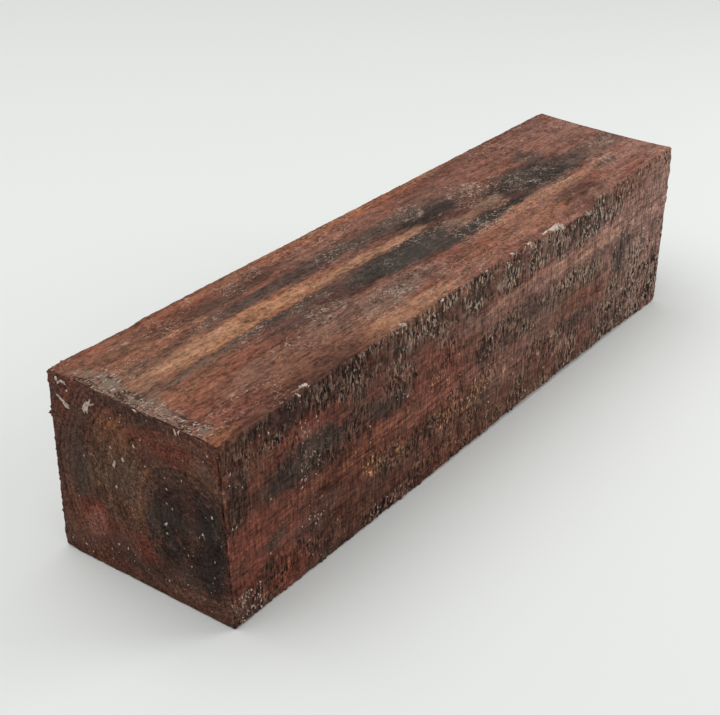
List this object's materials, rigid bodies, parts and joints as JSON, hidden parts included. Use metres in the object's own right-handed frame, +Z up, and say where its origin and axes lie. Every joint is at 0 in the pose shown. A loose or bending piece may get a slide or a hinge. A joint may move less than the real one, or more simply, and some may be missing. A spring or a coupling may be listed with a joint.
{
  "type": "wood turning blank",
  "caption": "Rough-sawn square blank of dense red-brown chechen heartwood with worn, waxed faces, to be held between a lathe's centres and turned.",
  "frame": {"origin": "middle of the bounding box at the base, which lies on the surface", "axes": "+X along the grain and the length, towards the far end; +Z up; +Y to the left when looking along +X"},
  "size_m": [0.3086, 0.0776, 0.0762],
  "materials": {
    "waxed_heartwood": "rough-sawn, under a thin film of paraffin wax"
  },
  "bodies": {
    "root": {"turning_blank": "waxed_heartwood"}
  },
  "joints": []
}
